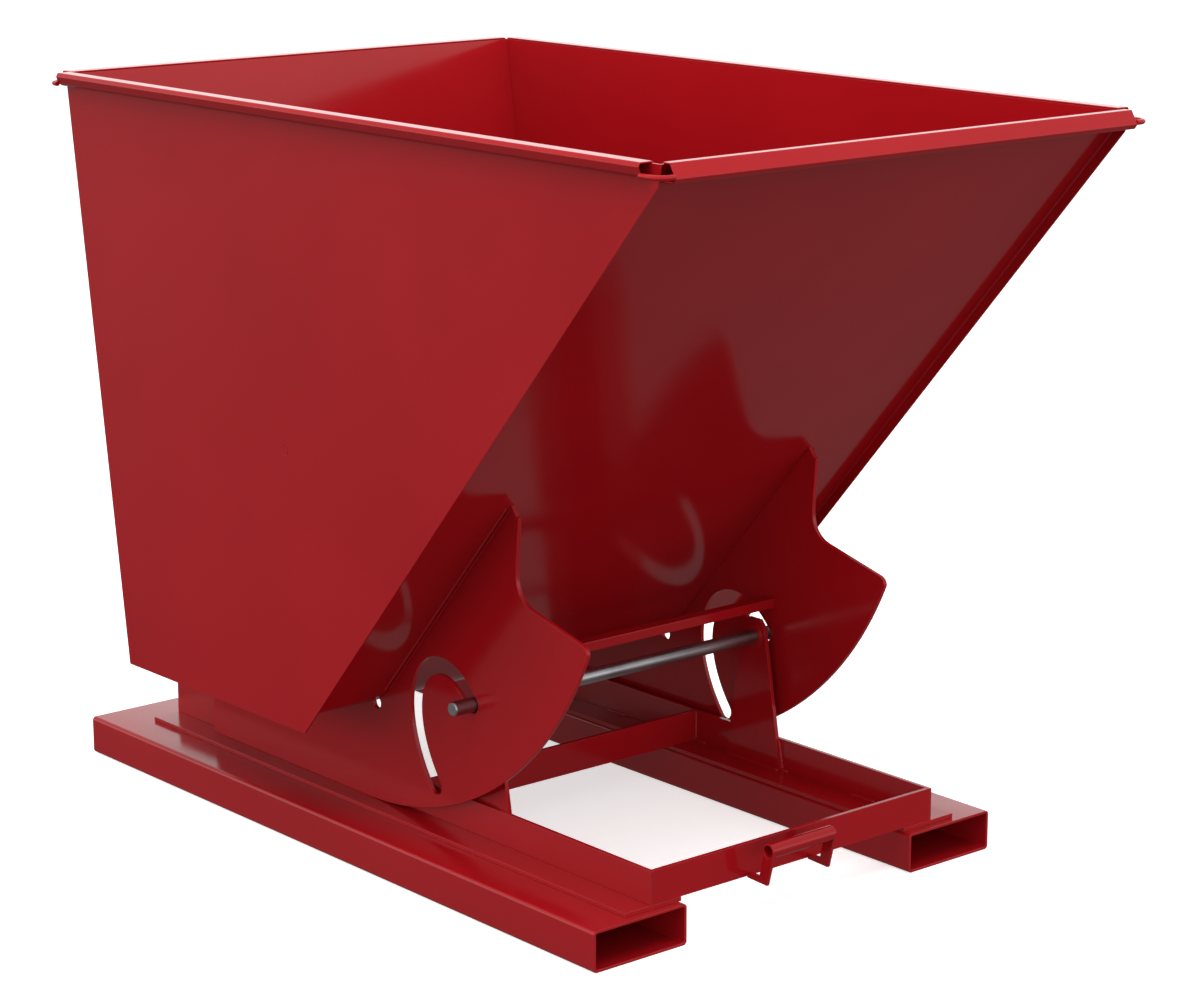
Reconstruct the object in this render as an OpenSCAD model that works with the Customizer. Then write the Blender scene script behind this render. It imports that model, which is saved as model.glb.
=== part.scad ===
// Self-dumping forklift hopper on a fork-tube base.
// Millimetres, +Z up, X left to right, the bin tips toward -Y.
// Origin: on the floor, in the middle of the overall length and width.

/* [Base] */
// Base width over the two fork tubes
base_w = 920; // [760:1:1120]
// Base length along the forks
base_l = 1510; // [1250:1:1820]
// Fork tube outside width
tube_w = 200; // [165:1:240]
// Fork tube outside height
tube_h = 72; // [60:1:90]
// Fork tube wall
tube_wall = 5; // [4:0.5:6]
// Width of the flat track plate on each tube
track_w = 122; // [100:1:150]
// Thickness of plates in the base
plate_t = 8; // [6:0.5:10]
// Height of the guide flange over the track plate
flange_h = 59; // [48:1:72]
// From the track plate's inner edge to the flange's inner face
flange_in = 59; // [50:1:66]

/* [Pivot] */
// Rocker arc radius
rock_r = 660; // [640:1:720]
// Shaft position in front of the arc centre
shaft_fwd = 299; // [275:1:330]
// Shaft position below the arc centre
shaft_drop = 418; // [400:1:440]
// Shaft diameter
shaft_d = 26; // [22:0.5:32]
// Clearance of the slot over the shaft diameter
slot_gap = 5; // [2:0.5:8]
// Largest roll angle in degrees
roll_max = 62; // [50:1:64]

/* [Bin] */
// Bin width over the side panels
bin_w = 1030; // [940:1:1240]
// Height of the rim top over the floor
bin_top = 1334; // [1180:1:1560]
// Length of the bin floor
floor_l = 562; // [500:1:660]
// How far the front lip reaches past the floor's front edge
slope_reach = 960; // [840:1:1100]
// How far the back wall leans out over its height
back_lean = 150; // [120:1:180]
// Side panel and sheet thickness
sheet_t = 4; // [3:0.5:6]
// Height of the side panel's bottom edge over the floor
bin_z = 242; // [225:1:260]
// Rocker plate thickness
rocker_t = 8; // [6:0.5:10]

/* [Rim] */
// Rim sheet thickness
rim_t = 3; // [2:0.5:4]
// Width of the rim's flat top outside the panel
rim_w = 20; // [16:1:26]
// Corner rod diameter
rod_d = 9; // [7:0.5:11]

/* [Latch] */
// Latch pivot pin diameter
pin_d = 16; // [12:0.5:20]
// Keeper bar diameter
keeper_d = 18; // [14:0.5:24]
// Thickness of the latch hook
hook_t = 12; // [8:0.5:16]

/* [Hidden] */
fit = 0.05;
gap = 0.3;
half_w = base_w / 2;
tube_in = half_w - tube_w;
track_z = tube_h + plate_t;
flange_x0 = tube_in + flange_in;
flange_x1 = flange_x0 + plate_t;
flange_top = track_z + flange_h;
front_y = -base_l / 2 + 14;
rail_back = base_l / 2 - 100;
post_x0 = flange_x0 - plate_t;
rock_x0 = flange_x1 + 11;
rock_x1 = rock_x0 + rocker_t;
cz = track_z + rock_r;
sy = -shaft_fwd;
sz = cz - shaft_drop;
slot_r = (shaft_d + slot_gap) / 2;
panel_x1 = bin_w / 2;
panel_x0 = panel_x1 - sheet_t;
floor_z = bin_z + 15;
bin_h = bin_top - bin_z;
floor_y0 = -40;
floor_y1 = floor_y0 + floor_l;
panel_top = bin_top - rim_t;
slope_m = slope_reach / bin_h;
lean_m = back_lean / bin_h;
slope_set = 20 * sqrt(1 + slope_m * slope_m);
slope_wt = sheet_t * sqrt(1 + slope_m * slope_m);
back_wt = sheet_t * sqrt(1 + lean_m * lean_m);
pr = pin_d / 2;
kr = keeper_d / 2;
EPS = 0.01;
$fn = 96;
RED = [0.60, 0.13, 0.16];
STEEL = [0.35, 0.36, 0.37];
ZINC = [0.62, 0.63, 0.65];

// outer faces of the slope and back sheets at height z
function slope_y(z) = floor_y0 - slope_m * (z - bin_z) + slope_set;
function back_y(z) = floor_y1 - 5 + lean_m * (z - bin_z);
// shaft centre seen from the bin after a roll of a degrees
function roll_y(a) = (sy + rock_r * a * PI / 180) * cos(a) - shaft_drop * sin(a);
function roll_z(a) = cz - (sy + rock_r * a * PI / 180) * sin(a) - shaft_drop * cos(a);
function dir_y(a) = roll_y(a + 0.05) - roll_y(a - 0.05);
function dir_z(a) = roll_z(a + 0.05) - roll_z(a - 0.05);
function dir_l(a) = sqrt(dir_y(a) * dir_y(a) + dir_z(a) * dir_z(a));
function slot_pt(a, s) = [roll_y(a) - s * dir_z(a) / dir_l(a), roll_z(a) + s * dir_y(a) / dir_l(a)];
// the slope sheet is bent into the floor round (fold_yc, fold_zc); a runs from fold_a at the slope to 0
fold_r = 100;
fold_zc = floor_z + fold_r;
fold_yc = slope_y(fold_zc) + fold_r * sqrt(1 + slope_m * slope_m);
fold_a = atan(1 / slope_m);
fold_n = 14;
function fold_pt(r, a) = [fold_yc - r * sin(a), fold_zc - r * cos(a)];
slot_n = 32;
slot_end = roll_max + 4;

// points are (y, z); the shape is pushed out along +X from x0 by t
module yz(x0, t) {
  translate([x0, 0, 0]) rotate([90, 0, 90]) linear_extrude(height = t) children();
}
module side(s) {
  if (s < 0) mirror([1, 0, 0]) children();
  else children();
}
module xrod(x0, x1, y, z, d) {
  translate([x0, y, z]) rotate([0, 90, 0]) cylinder(h = x1 - x0, d = d);
}
module block(x0, x1, y0, y1, z0, z1) {
  translate([x0, y0, z0]) cube([x1 - x0, y1 - y0, z1 - z0]);
}
module round_box(w, h, r) {
  translate([r, 0]) square([w - 2 * r, h]);
  translate([0, r]) square([w, h - 2 * r]);
  translate([r, r]) circle(r = r);
  translate([w - r, r]) circle(r = r);
  translate([r, h - r]) circle(r = r);
  translate([w - r, h - r]) circle(r = r);
}

/* base */
module fork_tube() {
  color(RED) translate([tube_in, base_l / 2, 0]) rotate([90, 0, 0]) linear_extrude(height = base_l)
    difference() {
      round_box(tube_w, tube_h, tube_wall + 2);
      translate([tube_wall, tube_wall]) round_box(tube_w - 2 * tube_wall, tube_h - 2 * tube_wall, 3);
    }
}
module track_plate() {
  color(RED) block(tube_in, tube_in + track_w, front_y, rail_back, tube_h, track_z);
}
module guide_flange() {
  color(RED) block(flange_x0, flange_x1, front_y, rail_back, track_z, flange_top);
}
module cross_bar(y) {
  color(RED) block(-flange_x0, flange_x0, y, y + plate_t, track_z, flange_top);
}
module front_cross_bar() { cross_bar(front_y); }
module middle_cross_bar() { cross_bar(-134); }
module rear_cross_bar() { cross_bar(latch_y + 34); }
module shaft_post() {
  color(RED) difference() {
    yz(post_x0, plate_t) polygon([
      [sy - 73, track_z], [sy + 73, track_z], [sy + 27, sz + 20], [sy + 15, sz + 34],
      [sy - 15, sz + 34], [sy - 27, sz + 20]]);
    xrod(post_x0 - 1, post_x0 + plate_t + 1, sy, sz, shaft_d + 2 * fit);
  }
}
module shaft_collar() {
  color(RED) difference() {
    xrod(post_x0 - 3, post_x0, sy, sz, shaft_d + 22);
    xrod(post_x0 - 4, post_x0 + 1, sy, sz, shaft_d + 2 * fit);
  }
}
module pivot_shaft() {
  shaft_x = rock_x1 + 44;
  color(STEEL) {
    xrod(-shaft_x + 2, shaft_x - 2, sy, sz, shaft_d);
    translate([shaft_x - 2, sy, sz]) rotate([0, 90, 0]) cylinder(h = 2, d1 = shaft_d, d2 = shaft_d - 4);
    translate([-shaft_x, sy, sz]) rotate([0, 90, 0]) cylinder(h = 2, d1 = shaft_d - 4, d2 = shaft_d);
  }
}

/* front lug */
lug_x0 = -113;
lug_x1 = 33;
lug_y = front_y - 50;
lug_z = flange_top - 2;
lug_d = 26;
lug_t = 6;
module front_lug_pipe() {
  color(RED) difference() {
    xrod(lug_x0, lug_x1, lug_y, lug_z, lug_d);
    xrod(lug_x0 - 1, lug_x1 + 1, lug_y, lug_z, lug_d - 6);
  }
}
module lug_gusset(x) {
  color(RED) difference() {
    yz(x, lug_t) polygon([
      [front_y, track_z - 2], [front_y - 48, track_z - 4], [lug_y - 12, lug_z - 5],
      [lug_y + 11, lug_z - 7], [front_y - 29, track_z + 8], [front_y, track_z + 9]]);
    xrod(x - 1, x + lug_t + 1, lug_y, lug_z, lug_d);
  }
}
module left_lug_gusset() { lug_gusset(lug_x0); }
module right_lug_gusset() { lug_gusset(lug_x1 - lug_t); }

/* latch on the rear bar */
latch_y = 606;
latch_z = 185;
keep_y = back_y(340) + 40;
keep_z = 340;
keep_dy = keep_y - latch_y;
keep_dz = keep_z - latch_z;
keep_r = sqrt(keep_dy * keep_dy + keep_dz * keep_dz);
keep_a = atan2(keep_dz, keep_dy);
hook_open = 24;
ear_x0 = hook_t / 2 + 2;
ear_t = 8;
module latch_ear(x) {
  color(RED) difference() {
    yz(x, ear_t) polygon([
      [latch_y + 34, track_z], [latch_y + 34, flange_top], [latch_y + 21, latch_z + 6],
      [latch_y + 12, latch_z + 20], [latch_y - 12, latch_z + 20], [latch_y - 21, latch_z + 6],
      [latch_y - 21, latch_z - 20], [latch_y + 6, track_z]]);
    xrod(x - 1, x + ear_t + 1, latch_y, latch_z, pin_d + 2 * fit);
  }
}
module left_latch_ear() { latch_ear(-ear_x0 - ear_t); }
module right_latch_ear() { latch_ear(ear_x0); }
module latch_pin() {
  px = ear_x0 + ear_t;
  color(ZINC) {
    xrod(-px - 6, px, latch_y, latch_z, pin_d);
    xrod(px, px + 8, latch_y, latch_z, pin_d + 10);
    xrod(-px - 5, -px - 1, latch_y, latch_z, pin_d + 8);
  }
}
// hook drawn in the catching position about the pin, then swung back by hook_open
module hook_shape() {
  difference() {
    union() {
      circle(r = 26);
      rotate(keep_a - 90) translate([kr + 3, 0]) square([28, keep_r + 12]);
      rotate(keep_a - 90) intersection() {
        difference() {
          circle(r = keep_r + kr + 30);
          circle(r = keep_r + kr + 3);
        }
        translate([-22, keep_r - 20]) square([kr + 53, 90]);
      }
      rotate(12) translate([0, -14]) square([60, 28]);
    }
    circle(d = pin_d + 2 * gap);
  }
}
module latch_hook() {
  color(RED) translate([-hook_t / 2, latch_y, latch_z]) rotate([90, 0, 90])
    linear_extrude(height = hook_t) rotate(-hook_open) hook_shape();
}
arm_a = 12 - hook_open;
module latch_handle() {
  color(STEEL) translate([0, latch_y, latch_z]) rotate([arm_a, 0, 0]) {
    translate([0, 60, 0]) rotate([-90, 0, 0]) cylinder(h = 84, d = 18);
  }
}
module handle_grip() {
  color([0.08, 0.08, 0.08]) translate([0, latch_y, latch_z]) rotate([arm_a, 0, 0])
    translate([0, 76, 0]) rotate([-90, 0, 0]) difference() {
      cylinder(h = 74, d = 28);
      translate([0, 0, -1]) cylinder(h = 69, d = 18);
    }
}

/* bin */
module side_panel() {
  color(RED) difference() {
    yz(panel_x0, sheet_t) polygon([
      [floor_y0, bin_z], [floor_y1, bin_z], [back_y(panel_top) + 5, panel_top],
      [slope_y(panel_top), panel_top], [slope_y(panel_top) + 6, bin_top - 38]]);
    xrod(panel_x0 - 1, panel_x1 + 1, 0, cz, 16 + 2 * gap);
  }
}
module centre_plug() {
  color(RED) xrod(panel_x0, panel_x1, 0, cz, 16);
}
module floor_sheet() {
  color(RED) yz(-panel_x0, 2 * panel_x0) polygon([
    [fold_yc, floor_z], [back_y(floor_z) - back_wt, floor_z],
    [back_y(floor_z + sheet_t) - back_wt, floor_z + sheet_t], [fold_yc, floor_z + sheet_t]]);
}
module slope_sheet() {
  color(RED) yz(-panel_x0, 2 * panel_x0) polygon(concat(
    [[slope_y(panel_top), panel_top]],
    [for (i = [0:fold_n]) fold_pt(fold_r, fold_a * (1 - i / fold_n))],
    [for (i = [fold_n:-1:0]) fold_pt(fold_r - sheet_t, fold_a * (1 - i / fold_n))],
    [[slope_y(panel_top) + slope_wt, panel_top]]));
}
module back_sheet() {
  color(RED) yz(-panel_x0, 2 * panel_x0) polygon([
    [back_y(floor_z) - back_wt, floor_z], [back_y(floor_z), floor_z],
    [back_y(panel_top), panel_top], [back_y(panel_top) - back_wt, panel_top]]);
}

/* rim: sheet folded out and back to the wall */
// k is how far the wall leans out for each mm of height
module rim_profile(w, k) {
  polygon([
    [-sheet_t, 0], [w + 2, 0], [w + 6, -7], [w + 1, -19], [w - 6, -24], [-k * (24 - rim_t), -24],
    [-k * (24 - 2 * rim_t), -24 + rim_t], [w - 7, -24 + rim_t], [w - 1.44, -17.06],
    [w + 2.66, -7.21], [w + 0.26, -rim_t], [-sheet_t, -rim_t]]);
}
rim_y0 = slope_y(panel_top) + 21;
rim_y1 = back_y(panel_top) - 3;
rim_x = panel_x1 - 7;
back_w = rim_w + 4;
module side_rim() {
  color(RED) translate([panel_x1, rim_y1, bin_top]) rotate([90, 0, 0])
    linear_extrude(height = rim_y1 - rim_y0) rim_profile(rim_w, 0);
}
module back_rim() {
  color(RED) translate([rim_x, back_y(panel_top), bin_top]) rotate([90, 0, -90])
    linear_extrude(height = 2 * rim_x) mirror([1, 0]) rim_profile(back_w, lean_m);
}
module front_rim() {
  k = slope_m;
  color(RED) translate([-rim_x, slope_y(panel_top), bin_top]) rotate([90, 0, 90])
    linear_extrude(height = 2 * rim_x) mirror([1, 0]) polygon([
      [-sheet_t, 0], [12, 0], [26, -23], [20, -31], [-k * (31 - rim_t), -31],
      [-k * (31 - 2 * rim_t), -31 + rim_t], [18.2, -31 + rim_t], [22.4, -23], [10.2, -rim_t],
      [-sheet_t, -rim_t]]);
}
// rod bent round the corner, its ends butted on the rim ends
rod_z = bin_top - 20;
rod_r = 20;
module corner_rod(sx, ye, yr, s) {
  // ye is the side rim's end, yr the middle of the leg along the front or back
  yc = yr - s * rod_r;
  xc = panel_x1 + rim_w + 2 - rod_r;
  leg = s * (yc - ye);
  color(RED) side(sx) translate([xc, yc, rod_z]) {
    rotate([0, 0, s > 0 ? 0 : -90]) rotate_extrude(angle = 90) translate([rod_r, 0]) circle(d = rod_d);
    translate([rod_r, s > 0 ? -leg : 0, 0]) rotate([-90, 0, 0]) cylinder(h = leg, d = rod_d);
    translate([rim_x - xc, s * rod_r, 0]) rotate([0, 90, 0]) cylinder(h = xc - rim_x, d = rod_d);
  }
}
front_rod_y = slope_y(panel_top) - 22;
back_rod_y = back_y(panel_top) + back_w - 1;

/* rockers */
tip_y = -602;
tip_z = 487;
bend_y = -420;
horn_z = 692;
module rocker() {
  color(RED) difference() {
    intersection() {
      yz(rock_x0, rocker_t) polygon(concat([
        [500, track_z], [500, floor_z]],
        [for (i = [fold_n:-1:0]) fold_pt(fold_r, fold_a * (1 - i / fold_n))],
        [[slope_y(horn_z), horn_z], [slope_y(horn_z) - 13, horn_z - 17], [bend_y - 7, horn_z - 18],
        [bend_y, 590]],
        [for (i = [0:6]) [bend_y - 50 + 50 * cos(i * 12.6), 572 - 50 * sin(i * 12.6)]],
        [[tip_y + 10, tip_z + 3], [tip_y + 2, tip_z - 2], [tip_y - 1, tip_z - 8], [tip_y - 4, 455],
        [tip_y - 70, 430], [tip_y - 70, track_z]]));
      union() {
        xrod(rock_x0 - 1, rock_x1 + 1, 0, cz, 2 * (rock_r - gap));
        block(rock_x0 - 1, rock_x1 + 1, 0, 600, track_z, cz);
      }
    }
    yz(rock_x0 - 1, rocker_t + 2) polygon(concat(
      [for (i = [0:slot_n]) slot_pt(i * slot_end / slot_n, slot_r)],
      [for (i = [slot_n:-1:0]) slot_pt(i * slot_end / slot_n, -slot_r)]));
    xrod(rock_x0 - 1, rock_x1 + 1, sy, sz, 2 * slot_r);
    xrod(rock_x0 - 1, rock_x1 + 1, roll_y(slot_end), roll_z(slot_end), 2 * slot_r);
    xrod(rock_x0 - 1, rock_x1 + 1, fold_pt(fold_r + 5, fold_a / 2)[0], fold_pt(fold_r + 5, fold_a / 2)[1], 22);
  }
}

/* square-edged bar between the rockers, over the shaft */
tie_y = sy - 26;
tie_z = sz + 54;
module rocker_tie_bar() {
  color(RED) block(-rock_x0, rock_x0, tie_y, tie_y + 25, tie_z, tie_z + 18);
}

/* keeper on the back sheet */
module keeper_lug(x) {
  k = 20;
  color(RED) difference() {
    yz(x, 8) polygon([
      [back_y(300), 300], [back_y(400), 400], [keep_y + k, keep_z + k], [keep_y + k, keep_z - k]]);
    xrod(x - 1, x + 9, keep_y, keep_z, keeper_d + 2 * fit);
  }
}
module left_keeper_lug() { keeper_lug(-48); }
module right_keeper_lug() { keeper_lug(40); }
module keeper_bar() {
  color(ZINC) xrod(-54, 54, keep_y, keep_z, keeper_d);
}

module left_fork_tube() { side(-1) fork_tube(); }
module right_fork_tube() { fork_tube(); }
module left_track_plate() { side(-1) track_plate(); }
module right_track_plate() { track_plate(); }
module left_guide_flange() { side(-1) guide_flange(); }
module right_guide_flange() { guide_flange(); }
module left_shaft_post() { side(-1) shaft_post(); }
module right_shaft_post() { shaft_post(); }
module left_shaft_collar() { side(-1) shaft_collar(); }
module right_shaft_collar() { shaft_collar(); }
module left_side_panel() { side(-1) side_panel(); }
module right_side_panel() { side_panel(); }
module left_rim() { side(-1) side_rim(); }
module right_rim() { side_rim(); }
module front_left_corner_rod() { corner_rod(-1, rim_y0, front_rod_y, -1); }
module front_right_corner_rod() { corner_rod(1, rim_y0, front_rod_y, -1); }
module back_left_corner_rod() { corner_rod(-1, rim_y1, back_rod_y, 1); }
module back_right_corner_rod() { corner_rod(1, rim_y1, back_rod_y, 1); }
module left_rocker() { side(-1) rocker(); }
module right_rocker() { rocker(); }
module left_centre_plug() { side(-1) centre_plug(); }
module right_centre_plug() { centre_plug(); }

// the base is drawn about its own middle, then everything is moved so the origin is mid-length
mid_y = -round((base_l / 2 + front_rod_y - rod_d / 2) / 2);
module centred() {
  translate([0, mid_y, 0]) children();
}

centred() left_fork_tube();
centred() right_fork_tube();
centred() left_track_plate();
centred() right_track_plate();
centred() left_guide_flange();
centred() right_guide_flange();
centred() front_cross_bar();
centred() middle_cross_bar();
centred() rear_cross_bar();
centred() left_shaft_post();
centred() right_shaft_post();
centred() left_shaft_collar();
centred() right_shaft_collar();
centred() pivot_shaft();
centred() front_lug_pipe();
centred() left_lug_gusset();
centred() right_lug_gusset();
centred() left_latch_ear();
centred() right_latch_ear();
centred() latch_pin();
centred() latch_hook();
centred() latch_handle();
centred() handle_grip();
centred() left_side_panel();
centred() right_side_panel();
centred() floor_sheet();
centred() slope_sheet();
centred() back_sheet();
centred() left_rim();
centred() right_rim();
centred() front_rim();
centred() back_rim();
centred() front_left_corner_rod();
centred() front_right_corner_rod();
centred() back_left_corner_rod();
centred() back_right_corner_rod();
centred() left_rocker();
centred() right_rocker();
centred() rocker_tie_bar();
centred() left_keeper_lug();
centred() right_keeper_lug();
centred() keeper_bar();
centred() left_centre_plug();
centred() right_centre_plug();
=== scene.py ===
import math

import bmesh
import bpy
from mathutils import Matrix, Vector


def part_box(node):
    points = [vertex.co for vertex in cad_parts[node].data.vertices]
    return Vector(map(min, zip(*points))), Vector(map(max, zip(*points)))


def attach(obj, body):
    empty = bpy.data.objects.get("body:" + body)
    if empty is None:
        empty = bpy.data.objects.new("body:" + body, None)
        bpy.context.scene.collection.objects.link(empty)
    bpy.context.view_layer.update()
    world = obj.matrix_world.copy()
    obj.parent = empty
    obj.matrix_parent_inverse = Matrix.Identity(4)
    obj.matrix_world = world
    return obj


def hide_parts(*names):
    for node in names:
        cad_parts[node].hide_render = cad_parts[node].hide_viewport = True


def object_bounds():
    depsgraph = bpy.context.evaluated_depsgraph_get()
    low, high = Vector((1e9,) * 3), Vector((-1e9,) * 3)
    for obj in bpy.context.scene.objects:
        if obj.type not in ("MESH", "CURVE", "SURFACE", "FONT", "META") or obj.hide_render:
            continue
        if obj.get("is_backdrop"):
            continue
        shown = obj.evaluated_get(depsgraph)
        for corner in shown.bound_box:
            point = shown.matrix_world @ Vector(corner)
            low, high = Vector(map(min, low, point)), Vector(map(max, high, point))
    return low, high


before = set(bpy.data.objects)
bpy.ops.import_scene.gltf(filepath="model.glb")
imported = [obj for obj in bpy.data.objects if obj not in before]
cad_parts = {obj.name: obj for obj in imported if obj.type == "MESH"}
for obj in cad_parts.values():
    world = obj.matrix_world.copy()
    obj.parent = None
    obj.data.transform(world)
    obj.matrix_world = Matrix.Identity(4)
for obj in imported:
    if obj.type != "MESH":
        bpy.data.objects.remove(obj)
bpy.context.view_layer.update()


# ---- Fork tubes -------------------------------------------------------------
# Two hollow rectangular steel tubes that the forks slide into, sawn square and
# left open at both ends. Deburred edges, then sprayed with glossy red enamel.

SIDES = ("left", "right")


def noise(nodes, links, coords, scale, detail, stretch=(1, 1, 1), seed=0.0):
    """Soft noise over the object's own coordinates, shifted by seed."""
    place = nodes.new("ShaderNodeMapping")
    place.inputs["Scale"].default_value = stretch
    place.inputs["Location"].default_value = (seed * 1.7, seed * 0.9, seed * 2.3)
    links.new(coords, place.inputs["Vector"])
    grain = nodes.new("ShaderNodeTexNoise")
    grain.inputs["Scale"].default_value = scale
    grain.inputs["Detail"].default_value = detail
    links.new(place.outputs["Vector"], grain.inputs["Vector"])
    return grain.outputs["Fac"]


def spread(nodes, links, value, low, high, to_low, to_high):
    """Stretch a value that runs from low to high so that it runs from to_low to to_high."""
    step = nodes.new("ShaderNodeMapRange")
    limits = {"From Min": low, "From Max": high, "To Min": to_low, "To Max": to_high}
    for key, number in limits.items():
        step.inputs[key].default_value = number
    links.new(value, step.inputs["Value"])
    return step.outputs["Result"]


def blend_colours(nodes, links, share, first, second):
    """Go from the first colour to the second as share goes from 0 to 1."""
    mix = nodes.new("ShaderNodeMix")
    mix.data_type = "RGBA"
    for socket, colour in ((mix.inputs[6], first), (mix.inputs[7], second)):
        if isinstance(colour, tuple):
            socket.default_value = (*colour, 1)
        else:
            links.new(colour, socket)
    links.new(share, mix.inputs[0])
    return mix.outputs[2]


def edge_share(nodes, links, radius):
    """1 where the surface turns over an edge, 0 on the flats."""
    rounded = nodes.new("ShaderNodeBevel")
    rounded.samples = 4
    rounded.inputs["Radius"].default_value = radius
    flat = nodes.new("ShaderNodeNewGeometry")
    dot = nodes.new("ShaderNodeVectorMath")
    dot.operation = "DOT_PRODUCT"
    links.new(rounded.outputs["Normal"], dot.inputs[0])
    links.new(flat.outputs["Normal"], dot.inputs[1])
    return spread(nodes, links, dot.outputs["Value"], 0.995, 0.90, 0.0, 1.0)


def shader(name):
    """A new material, with its nodes, links and surface shader."""
    made = bpy.data.materials.new(name)
    made.use_nodes = True
    tree = made.node_tree
    return made, tree.nodes, tree.links, tree.nodes["Principled BSDF"]


def bumps(nodes, links, height, strength, distance):
    """Surface relief, distance metres deep at full strength."""
    bump = nodes.new("ShaderNodeBump")
    bump.inputs["Strength"].default_value = strength
    bump.inputs["Distance"].default_value = distance
    links.new(height, bump.inputs["Height"])
    return bump.outputs["Normal"]


def red_enamel(name, seed, scuffs=0.0, gloss=0.30):
    """Sprayed red enamel: clouded colour, a painted highlight of lighter red along the edges,
    slight sags and dulled patches.
    """
    made, nodes, links, paint = shader(name)
    where = nodes.new("ShaderNodeTexCoord").outputs["Object"]
    cloud = noise(nodes, links, where, 2.2, 3.0, seed=seed)
    cloudy = spread(nodes, links, cloud, 0.3, 0.7, 0.0, 1.0)
    coat = blend_colours(nodes, links, cloudy, (0.345, 0.0050, 0.0085), (0.385, 0.0066, 0.0105))
    # Painted highlight: a lighter red blended in along the edges stands in for the light glinting
    # off the rounded edges of the gloss.
    painted_edge_highlight = spread(nodes, links, edge_share(nodes, links, 0.0025), 0.0, 1.0, 0.0, 0.35)
    colour = blend_colours(nodes, links, painted_edge_highlight, coat, (0.45, 0.022, 0.026))
    links.new(colour, paint.inputs["Base Color"])
    mottle = noise(nodes, links, where, 9.0, 4.0, seed=seed + 3)
    shine = 0.10 + scuffs * 0.04
    dull = shine + 0.05 + scuffs * 0.08
    links.new(spread(nodes, links, mottle, 0.3, 0.7, shine, dull), paint.inputs["Roughness"])
    sag = noise(nodes, links, where, 5.0, 1.0, seed=seed + 7)
    links.new(bumps(nodes, links, sag, 0.10, 0.0012), paint.inputs["Normal"])
    paint.inputs["Specular IOR Level"].default_value = gloss
    return made


def dressed(node, body, finish, edge=0.0008, steps=2, turn=28):
    """The CAD solid with clean faces, its edges sharper than turn degrees rounded by edge."""
    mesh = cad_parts[node].data.copy()
    mesh.name = node + "_mesh"
    form = bmesh.new()
    form.from_mesh(mesh)
    bmesh.ops.remove_doubles(form, verts=form.verts, dist=2e-6)
    flat = math.radians(0.4)
    bmesh.ops.dissolve_limit(form, angle_limit=flat, verts=form.verts, edges=form.edges)
    for face in form.faces:
        face.smooth = True
    for line in form.edges:
        line.smooth = True
    form.to_mesh(mesh)
    form.free()
    if "custom_normal" in mesh.attributes:
        mesh.attributes.remove(mesh.attributes["custom_normal"])
    mesh.materials.clear()
    mesh.materials.append(finish)
    piece = bpy.data.objects.new(node + "_piece", mesh)
    bpy.context.scene.collection.objects.link(piece)
    over = piece.modifiers.new("edges", "BEVEL")
    over.width = edge
    over.segments = steps
    over.limit_method = "ANGLE"
    over.angle_limit = math.radians(turn)
    over.use_clamp_overlap = False
    over.harden_normals = True
    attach(piece, body)
    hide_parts(node)
    return piece


tube_red = red_enamel("fork_tube_red", 1.0, scuffs=0.4, gloss=0.46)
for side in SIDES:
    dressed(side + "_fork_tube", "base", tube_red, edge=0.0009)


# ---- Track plates and guide flanges -----------------------------------------
# Flat bars welded along the tops of the tubes. The rocker plates roll on them,
# and an upright strip on each keeps its rocker in line.

track_red = red_enamel("track_red", 2.0, scuffs=0.6, gloss=0.42)
for side in SIDES:
    dressed(side + "_track_plate", "base", track_red)
    dressed(side + "_guide_flange", "base", track_red)


# ---- Cross bars -------------------------------------------------------------
# Three flat bars on edge between the guide flanges tie the two tubes together.

bar_red = red_enamel("cross_bar_red", 3.0)
for place in ("front", "middle", "rear"):
    dressed(place + "_cross_bar", "base", bar_red)


# Corners of the weld's section, in legs along the one face and the other.
BEAD_SHAPE = ((-0.15, -0.15), (1.0, -0.10), (0.86, 0.36), (0.60, 0.60), (0.36, 0.86), (-0.10, 1.0))


def bead(name, body, finish, start, end, one, other, leg=0.0035):
    """A rippled fillet weld laid in the corner whose two faces run along one and other."""
    start, end = Vector(start), Vector(end)
    one, other = Vector(one).normalized(), Vector(other).normalized()
    length = (end - start).length
    ripple_pitch = 0.0044
    rings = max(int(length / (ripple_pitch / 4)), 6)
    corners = len(BEAD_SHAPE)
    form = bmesh.new()
    last = None
    for count in range(rings + 1):
        run = length * count / rings
        if length < 0.05:
            taper = 0.25 + 8 * min(count, rings - count) / rings
        else:
            taper = 0.35 + min(run, length - run) / 0.006
        ripple = 0.10 * math.cos(run / ripple_pitch * 2 * math.pi)
        swell = 0.06 * math.sin(run / 0.031)
        size = leg * min(1.0, taper) * (1 + ripple + swell)
        spine = start.lerp(end, count / rings)
        ring = [form.verts.new(spine + one * (size * near) + other * (size * far))
                for near, far in BEAD_SHAPE]
        if last:
            for corner in range(corners):
                after = (corner + 1) % corners
                form.faces.new((last[corner], last[after], ring[after], ring[corner]))
        else:
            form.faces.new(reversed(ring))
        last = ring
    form.faces.new(last)
    bmesh.ops.recalc_face_normals(form, faces=form.faces)
    mesh = bpy.data.meshes.new(name)
    form.to_mesh(mesh)
    form.free()
    mesh.materials.append(finish)
    for face in mesh.polygons:
        face.use_smooth = True
    piece = bpy.data.objects.new(name, mesh)
    bpy.context.scene.collection.objects.link(piece)
    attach(piece, body)
    return piece


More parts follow.
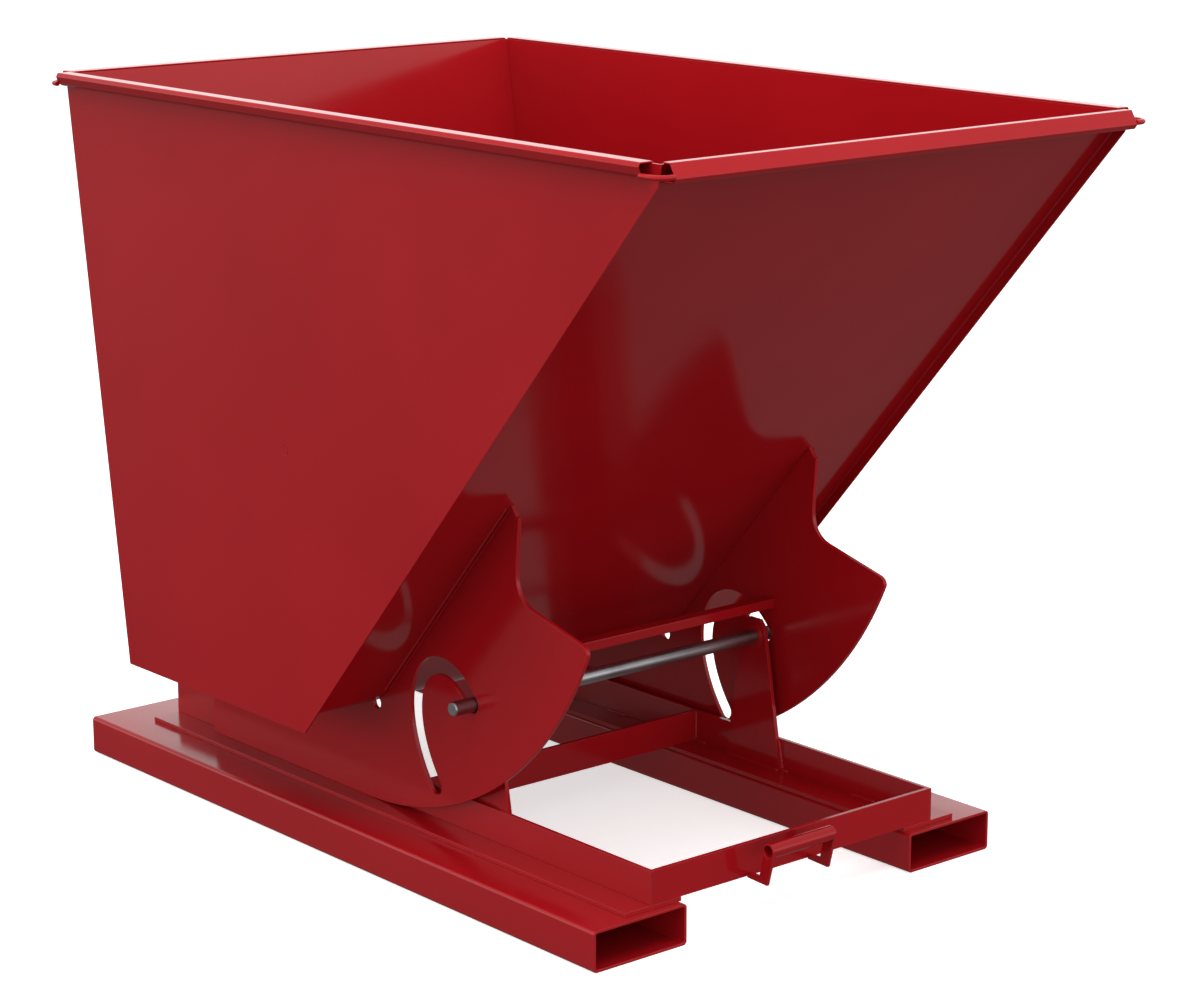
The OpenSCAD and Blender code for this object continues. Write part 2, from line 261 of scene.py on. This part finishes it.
for place in ("front", "middle", "rear"):
    low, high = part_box(place + "_cross_bar")
    for side, way in (("left", -1), ("right", 1)):
        x = high.x * way
        for face, y, out in (("a", low.y, -1), ("b", high.y, 1)):
            if (place, face) != ("front", "a"):
                bead(f"{side}_{place}_bar_weld_{face}", "base", bar_red, (x, y, low.z + 0.001),
                     (x, y, high.z - 0.002), (-way, 0, 0), (0, out, 0))
first_stitch, stitch_pitch, stitch_length = 0.13, 0.225, 0.06
for side, way in (("left", -1), ("right", 1)):
    low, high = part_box(side + "_guide_flange")
    x = low.x if way > 0 else high.x
    for stitch in range(6):
        y = low.y + first_stitch + stitch * stitch_pitch
        bead(f"{side}_flange_stitch_{stitch}", "base", track_red, (x, y, low.z),
             (x, y + stitch_length, low.z), (-way, 0, 0), (0, 0, 1))


# ---- Shaft, posts and collars -----------------------------------------------
# A bare ground steel bar fixed through two tapered plates. It stays still while
# the rockers' slots run along it. A thin ring is welded round it at each post.

def bare_steel(name, seed, tone, rough, along):
    """Bare or plated bar with fine lines drawn out where along is small, and darker patches."""
    made, nodes, links, metal = shader(name)
    where = nodes.new("ShaderNodeTexCoord").outputs["Object"]
    lines = noise(nodes, links, where, 240.0, 3.0, stretch=along, seed=seed)
    patch = noise(nodes, links, where, 14.0, 4.0, seed=seed + 4)
    dark = tuple(0.62 * part for part in tone)
    stain = spread(nodes, links, patch, 0.35, 0.7, 0.0, 0.8)
    links.new(blend_colours(nodes, links, stain, tone, dark), metal.inputs["Base Color"])
    links.new(spread(nodes, links, lines, 0.3, 0.7, rough, rough + 0.14), metal.inputs["Roughness"])
    links.new(bumps(nodes, links, lines, 0.12, 0.0002), metal.inputs["Normal"])
    metal.inputs["Metallic"].default_value = 1.0
    return made


post_red = red_enamel("post_red", 4.0)
shaft_steel = bare_steel("shaft_steel", 1.0, (0.42, 0.42, 0.43), 0.30, (0.04, 1, 1))
for side in SIDES:
    dressed(side + "_shaft_post", "base", post_red)
    dressed(side + "_shaft_collar", "base", post_red, edge=0.0006)
dressed("pivot_shaft", "base", shaft_steel, edge=0.0004)
post_height, post_draws_in, weld_height = 0.262, 0.046, 0.059
lean = post_draws_in * weld_height / post_height
for side, way in (("left", -1), ("right", 1)):
    low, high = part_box(side + "_shaft_post")
    inner, outer = (low.x, high.x) if way > 0 else (high.x, low.x)
    bead(side + "_post_foot_weld", "base", post_red, (inner, low.y + 0.003, low.z),
         (inner, high.y - 0.003, low.z), (-way, 0, 0), (0, 0, 1))
    for face, y, out in (("front", low.y, -1), ("back", high.y, 1)):
        bead(f"{side}_post_{face}_weld", "base", post_red, (outer, y, low.z + 0.001),
             (outer, y - out * lean, low.z + weld_height - 0.002), (-way, 0, 0), (0, out, 0))


# ---- Front lug --------------------------------------------------------------
# A short length of pipe held in front of the front bar by two hooked plates, so
# that a safety chain or a pin can be fixed to the base.

lug_red = red_enamel("lug_red", 5.0)
dressed("front_lug_pipe", "base", lug_red, edge=0.0005)
for side in SIDES:
    dressed(side + "_lug_gusset", "base", lug_red, edge=0.0006)


# ---- Latch ------------------------------------------------------------------
# A flame cut hook on a plated pin between two ears on the rear bar. Its round
# bar handle ends in a moulded rubber grip.

def black_rubber(name):
    """Matt moulded rubber with a fine grain and lighter handled patches."""
    made, nodes, links, skin = shader(name)
    where = nodes.new("ShaderNodeTexCoord").outputs["Object"]
    speck = noise(nodes, links, where, 420.0, 4.0)
    smear = noise(nodes, links, where, 22.0, 3.0, seed=2.0)
    links.new(blend_colours(nodes, links, smear, (0.013, 0.013, 0.013), (0.030, 0.029, 0.028)),
              skin.inputs["Base Color"])
    links.new(spread(nodes, links, smear, 0.3, 0.7, 0.55, 0.75), skin.inputs["Roughness"])
    links.new(bumps(nodes, links, speck, 0.25, 0.0003), skin.inputs["Normal"])
    return made


pin_zinc = bare_steel("pin_zinc", 2.0, (0.62, 0.63, 0.65), 0.28, (1, 0.3, 0.3))
latch_red = red_enamel("latch_red", 6.0, scuffs=0.5)
for side in SIDES:
    dressed(side + "_latch_ear", "base", latch_red)
dressed("latch_pin", "base", pin_zinc, edge=0.0006)
dressed("latch_hook", "latch", latch_red, edge=0.0010)
dressed("latch_handle", "latch", shaft_steel, edge=0.0006)


def grip_sleeve():
    """Ribbed sleeve turned about the handle: finger grooves, a flared collar and a domed end."""
    low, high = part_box("handle_grip")
    centre = (low + high) / 2
    slope = math.radians(-12)
    along = Vector((0, math.cos(slope), math.sin(slope)))
    across = Vector((1, 0, 0))
    third = along.cross(across)
    length, collar, waist, rib = 0.074, 0.0139, 0.0124, 0.0010
    outline = [(0.0002, 0.0091), (0.0, 0.0120), (0.0012, collar), (0.0040, collar), (0.0052, waist)]
    outline += [(0.0062 + step * 0.001, waist + rib * math.sin(step * math.pi / 3) ** 2)
                for step in range(57)]
    outline += [(0.0655, 0.0126), (0.0690, 0.0122), (0.0720, 0.0103), (0.0735, 0.0070),
                (0.0739, 0.0030)]
    around = 40
    angles = [2 * math.pi * corner / around for corner in range(around)]
    spokes = [across * math.cos(angle) + third * math.sin(angle) for angle in angles]
    form = bmesh.new()
    rings = []
    for run, wide in outline:
        middle = centre + along * (run - length / 2)
        rings.append([form.verts.new(middle + spoke * wide) for spoke in spokes])
    for first, second in zip(rings, rings[1:]):
        for corner in range(around):
            after = (corner + 1) % around
            form.faces.new((first[corner], first[after], second[after], second[corner]))
    form.faces.new(reversed(rings[0]))
    form.faces.new(rings[-1])
    bmesh.ops.recalc_face_normals(form, faces=form.faces)
    mesh = bpy.data.meshes.new("grip_sleeve")
    form.to_mesh(mesh)
    form.free()
    for face in mesh.polygons:
        face.use_smooth = len(face.vertices) == 4
    mesh.materials.append(black_rubber("grip_rubber"))
    sleeve = bpy.data.objects.new("grip_sleeve", mesh)
    bpy.context.scene.collection.objects.link(sleeve)
    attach(sleeve, "latch")
    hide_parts("handle_grip")


grip_sleeve()
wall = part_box("rear_cross_bar")[0].y
ear_weld_low, ear_weld_high = 0.082, 0.137
for side in SIDES:
    low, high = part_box(side + "_latch_ear")
    for face, x, out in (("in", low.x, -1), ("out", high.x, 1)):
        bead(f"{side}_ear_weld_{face}", "base", latch_red, (x, wall, ear_weld_low),
             (x, wall, ear_weld_high), (out, 0, 0), (0, -1, 0), leg=0.0026)


# ---- Bin sheets -------------------------------------------------------------
# Four millimetre sheet: a front slope bent round into the floor, and a leaning
# back, between two flat side panels, which stand out a little past the slope.

bin_red = red_enamel("bin_red", 7.0)
for sheet in ("floor_sheet", "slope_sheet", "back_sheet", "left_side_panel", "right_side_panel"):
    dressed(sheet, "bin", bin_red, edge=0.0008)
for side in SIDES:
    dressed(side + "_centre_plug", "roll_carriage", bin_red, edge=0.0001, steps=1)


slope_low, slope_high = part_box("slope_sheet")
floor_low, floor_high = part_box("floor_sheet")
slope_lean = 0.960 / 1.092
bend_radius = 0.100
bend_sweep = math.atan(1 / slope_lean)
off_slope = Vector((0, -math.sin(bend_sweep), -math.cos(bend_sweep)))
bend_top = floor_low.z + bend_radius + off_slope.z * bend_radius + 0.001
seam_top = 1.300


def slope_edge(z):
    """Outer face of the slope sheet at height z, above its bend."""
    return slope_low.y + (slope_high.z - z) * slope_lean


for side, way in (("left", -1), ("right", 1)):
    x = slope_high.x * way
    bead(side + "_slope_seam", "bin", bin_red, (x, slope_edge(bend_top), bend_top),
         (x, slope_edge(seam_top), seam_top), (-way, 0, 0), off_slope, leg=0.0030)
    bead(side + "_floor_seam", "bin", bin_red, (x, floor_low.y, floor_low.z),
         (x, floor_high.y - 0.004, floor_low.z), (-way, 0, 0), (0, 0, -1), leg=0.0030)


# ---- Rims and corner rods ---------------------------------------------------
# The top edge of each wall is folded out and back into a stiff hollow bead. A
# bent rod joins the open ends of the beads at each corner.

rim_red = red_enamel("rim_red", 8.0)
for place in ("left", "right", "front", "back"):
    dressed(place + "_rim", "bin", rim_red, edge=0.0016, steps=3, turn=18)
for place in ("front_left", "front_right", "back_left", "back_right"):
    dressed(place + "_corner_rod", "bin", rim_red, edge=0.0004)


# ---- Rockers ----------------------------------------------------------------
# Two thick plates under the bin with a rolling arc and a cane shaped slot for
# the shaft, welded on edge to the slope and the floor. A square-edged bar over
# the shaft ties them together.

rocker_red = red_enamel("rocker_red", 9.0, scuffs=0.3)
for side in SIDES:
    dressed(side + "_rocker", "bin", rocker_red, edge=0.0009, turn=35)
dressed("rocker_tie_bar", "bin", rocker_red, edge=0.0018, steps=3)
tie_low, tie_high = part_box("rocker_tie_bar")
for side, way in (("left", -1), ("right", 1)):
    bead(side + "_tie_weld", "bin", rocker_red, (tie_high.x * way, tie_low.y + 0.002, tie_low.z),
         (tie_high.x * way, tie_high.y - 0.002, tie_low.z), (-way, 0, 0), (0, 0, -1), leg=0.0030)

# These weld lines stand 8 mm further out than the plate's own two faces.
inner_weld, outer_weld = 0.346, 0.354
horn_weld_top = 0.688
for side, way in (("left", -1), ("right", 1)):
    rear_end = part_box(side + "_rocker")[1].y - 0.004
    for face, x, out in (("inner", inner_weld * way, -way), ("outer", outer_weld * way, way)):
        bead(f"{side}_rocker_slope_weld_{face}", "bin", rocker_red,
             (x, slope_edge(bend_top), bend_top), (x, slope_edge(horn_weld_top), horn_weld_top),
             (out, 0, 0), off_slope, leg=0.0030)
        bead(f"{side}_rocker_floor_weld_{face}", "bin", rocker_red, (x, floor_low.y, floor_low.z),
             (x, rear_end, floor_low.z), (out, 0, 0), (0, 0, -1), leg=0.0030)


# ---- Keeper -----------------------------------------------------------------
# A short round bar between two lugs on the back sheet, for the latch to catch.

keeper_red = red_enamel("keeper_red", 10.0)
for side in SIDES:
    dressed(side + "_keeper_lug", "bin", keeper_red)
dressed("keeper_bar", "bin", pin_zinc, edge=0.0006)
back_low, back_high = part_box("back_sheet")
back_through = 0.00404
back_lean = (back_high.y - back_low.y - back_through) / (back_high.z - back_low.z)
for side in SIDES:
    low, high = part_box(side + "_keeper_lug")
    for face, x, out in (("in", low.x, -1), ("out", high.x, 1)):
        start, end = [(x, back_low.y + back_through + (z - back_low.z) * back_lean, z)
                      for z in (low.z + 0.003, high.z - 0.003)]
        bead(f"{side}_keeper_weld_{face}", "bin", keeper_red, start, end,
             (out, 0, 0), (0, 1, -back_lean), leg=0.0028)


# ---- Studio -----------------------------------------------------------------
# A plain pale floor, soft lights from above and a long lens at a low height.

def card(name, size, place, aim, power):
    """A soft rectangular light, turned to face aim, that doesn't show in the gloss."""
    lamp = bpy.data.lights.new(name, "AREA")
    lamp.shape = "RECTANGLE"
    lamp.size, lamp.size_y = size
    lamp.energy = power
    stand = bpy.data.objects.new(name, lamp)
    stand.location = place
    stand.rotation_euler = (Vector(aim) - Vector(place)).to_track_quat("-Z", "Y").to_euler()
    stand.visible_glossy = False
    bpy.context.scene.collection.objects.link(stand)


ground = bpy.data.meshes.new("studio_floor")
reach, under = 60, -0.0005
ground.from_pydata([(-reach, -reach, under), (reach, -reach, under), (reach, reach, under),
                    (-reach, reach, under)], [], [(0, 1, 2, 3)])
floor = bpy.data.objects.new("studio_floor", ground)
bpy.context.scene.collection.objects.link(floor)
pale, nodes, links, matt = shader("floor_pale")
where = nodes.new("ShaderNodeTexCoord").outputs["Object"]
drift = noise(nodes, links, where, 0.6, 2.0)
links.new(blend_colours(nodes, links, drift, (0.93, 0.93, 0.93), (0.95, 0.95, 0.95)),
          matt.inputs["Base Color"])
matt.inputs["Roughness"].default_value = 0.9
matt.inputs["Emission Color"].default_value = (1, 1, 1, 1)
matt.inputs["Emission Strength"].default_value = 0.60
ground.materials.append(pale)
floor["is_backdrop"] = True

world = bpy.data.worlds.new("studio")
bpy.context.scene.world = world
world.use_nodes = True
sky = world.node_tree
heading = sky.nodes.new("ShaderNodeTexCoord")
height = sky.nodes.new("ShaderNodeSeparateXYZ")
sky.links.new(heading.outputs["Generated"], height.inputs["Vector"])
level = sky.nodes.new("ShaderNodeMapRange")
level.inputs["From Min"].default_value = -1
sky.links.new(height.outputs["Z"], level.inputs["Value"])
ramp = sky.nodes.new("ShaderNodeValToRGB")
sky.links.new(level.outputs["Result"], ramp.inputs["Fac"])
greys = ((0.0, 0.12), (0.36, 0.14), (0.47, 0.34), (0.512, 1.05), (0.65, 1.05), (0.71, 0.54),
         (1.0, 0.50))
for count, (spot, grey) in enumerate(greys):
    stop = ramp.color_ramp.elements[count] if count < 2 else ramp.color_ramp.elements.new(spot)
    stop.position = spot
    stop.color = (grey, grey, grey, 1)
sky.links.new(ramp.outputs["Color"], sky.nodes["Background"].inputs["Color"])
sky.nodes["Background"].inputs["Strength"].default_value = 1.35
floor.visible_diffuse = False
floor.visible_glossy = False
for name, size, place, aim, power in (
    ("top_card", (5, 5), (-1.0, -0.8, 5.5), (0, 0, 0.6), 262),
    ("left_card", (3, 2), (-6.0, -0.5, 1.6), (0, 0, 0.7), 27),
    ("low_card", (5, 1), (0.6, -5.0, 0.7), (0, 0, 0.7), 14),
):
    card(name, size, place, aim, power)

lens = bpy.data.cameras.new("camera")
lens.sensor_width = 36
lens.lens = 96.84
camera = bpy.data.objects.new("camera", lens)
camera.location = (-3.5986, -4.3420, 1.9541)
camera.rotation_euler = (math.radians(76.465), 0, math.radians(-40.361))
bpy.context.scene.collection.objects.link(camera)
bpy.context.scene.camera = camera
bpy.context.scene.view_settings.view_transform = "Standard"

low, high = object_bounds()
